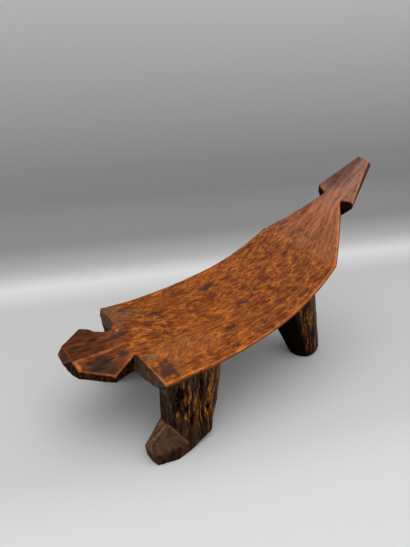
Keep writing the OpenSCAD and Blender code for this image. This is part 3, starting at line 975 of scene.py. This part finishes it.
# Distance along the sheet, from its front edge, and its grey, with the lamp's light and shade painted
# in: a pale floor, a bright band of painted light where the sheet begins to curve up, and a wall with
# painted shade that is dark at its foot and paler above
SHEET_LIGHT_AND_SHADE = ((1.45, 200), (1.52, 190), (1.88, 190), (1.96, 220),
          (2.01, 165), (2.06, 130), (2.2, 135), (2.5, 175), (3.0, 200))


def sheet_profile():
    """Places along the sheet: away from the stool, height, and distance from the front edge."""
    floor_length = SHEET_FRONT + CURVE_START
    profile = [(-SHEET_FRONT, 0.0, 0.0), (CURVE_START, 0.0, floor_length)]
    for step in range(1, CURVE_STEPS + 1):
        angle = math.pi / 2 * step / CURVE_STEPS
        profile.append((CURVE_START + CURVE_RADIUS * math.sin(angle),
                        CURVE_RADIUS * (1 - math.cos(angle)), floor_length + CURVE_RADIUS * angle))
    curve_end = profile[-1]
    profile.append((curve_end[0], curve_end[1] + WALL_HEIGHT, curve_end[2] + WALL_HEIGHT))
    return profile


def backdrop():
    """The sheet as a mesh; its points know how far along it they lie."""
    shape = bmesh.new()
    along = shape.verts.layers.float.new("along")
    rows = []
    for away, height, length in sheet_profile():
        row = []
        for side in (-SHEET_HALF_WIDTH, SHEET_HALF_WIDTH):
            place = Vector((side * math.cos(BACKDROP_TURN) + away * math.sin(BACKDROP_TURN),
                            away * math.cos(BACKDROP_TURN) - side * math.sin(BACKDROP_TURN), height))
            vertex = shape.verts.new(place + Vector((FRONT, 0, 0)))
            vertex[along] = length
            row.append(vertex)
        rows.append(row)
    for low, high in zip(rows, rows[1:]):
        shape.faces.new((low[0], low[1], high[1], high[0]))
    mesh = bpy.data.meshes.new("backdrop")
    shape.to_mesh(mesh)
    shape.free()
    mesh.polygons.foreach_set("use_smooth", np.ones(len(mesh.polygons), bool))
    sheet = bpy.data.objects.new("backdrop", mesh)
    bpy.context.scene.collection.objects.link(sheet)
    mesh.materials.append(pale_sheet())


def pale_sheet():
    """Matt paper whose grey changes along the sheet, with light and shade painted into it."""
    look = Nodes("pale_sheet")
    longest = SHEET_LIGHT_AND_SHADE[-1][0]
    share = look.math("DIVIDE", look.parts(look.layer("along"))[0], longest)
    stops = [(length / longest, srgb(grey, grey, grey)) for length, grey in SHEET_LIGHT_AND_SHADE]
    look.set(look.shader.inputs["Base Color"], look.ramp(share, *stops))
    look.shader.inputs["Roughness"].default_value = 0.9
    look.shader.inputs["Specular IOR Level"].default_value = 0.1
    return look.material


# A large soft lamp above the stool, where it stands and what it faces in the seat's axes, and the
# even light of the room
LAMP_PLACE = (-0.05, -0.3, 1.4)
LAMP_TARGET = (0.14, 0, 0.1)
LAMP_SIZE = 1.7
LAMP_POWER = 12.3
ROOM_LIGHT = 0.9


def lighting():
    light = bpy.data.lights.new("key", "AREA")
    light.shape = "DISK"
    light.size = LAMP_SIZE
    light.energy = LAMP_POWER
    lamp = bpy.data.objects.new("key", light)
    lamp.location = Vector(LAMP_PLACE) + Vector((FRONT, 0, 0))
    facing = Vector(LAMP_TARGET) - Vector(LAMP_PLACE)
    lamp.rotation_euler = facing.to_track_quat("-Z", "Y").to_euler()
    bpy.context.scene.collection.objects.link(lamp)
    world = bpy.data.worlds.new("studio")
    world.use_nodes = True
    background = world.node_tree.nodes["Background"]
    background.inputs["Color"].default_value = (1, 1, 1, 1)
    background.inputs["Strength"].default_value = ROOM_LIGHT
    bpy.context.scene.world = world


def photograph_camera():
    lens = bpy.data.cameras.new("camera")
    lens.lens = LENS
    lens.sensor_width = FILM
    lens.clip_start = 0.01
    camera = bpy.data.objects.new("camera", lens)
    camera.location = Vector(EYE) + Vector((FRONT, 0, 0))
    camera.rotation_euler = (math.pi / 2 - EYE_DOWN, 0, -EYE_TURN)
    bpy.context.scene.collection.objects.link(camera)
    bpy.context.scene.camera = camera


def dress_stool():
    trees = node_trees()
    block = fused_block()
    surface = Surface(block)
    member, nearest = nearest_members(surface.points, trees)
    wear_the_shoulder(surface, nearest)
    write_looks(block, carve(surface, member))
    make_pieces(block, trees)


photograph_camera()
lighting()
backdrop()
dress_stool()
bpy.context.scene.view_settings.view_transform = "Standard"
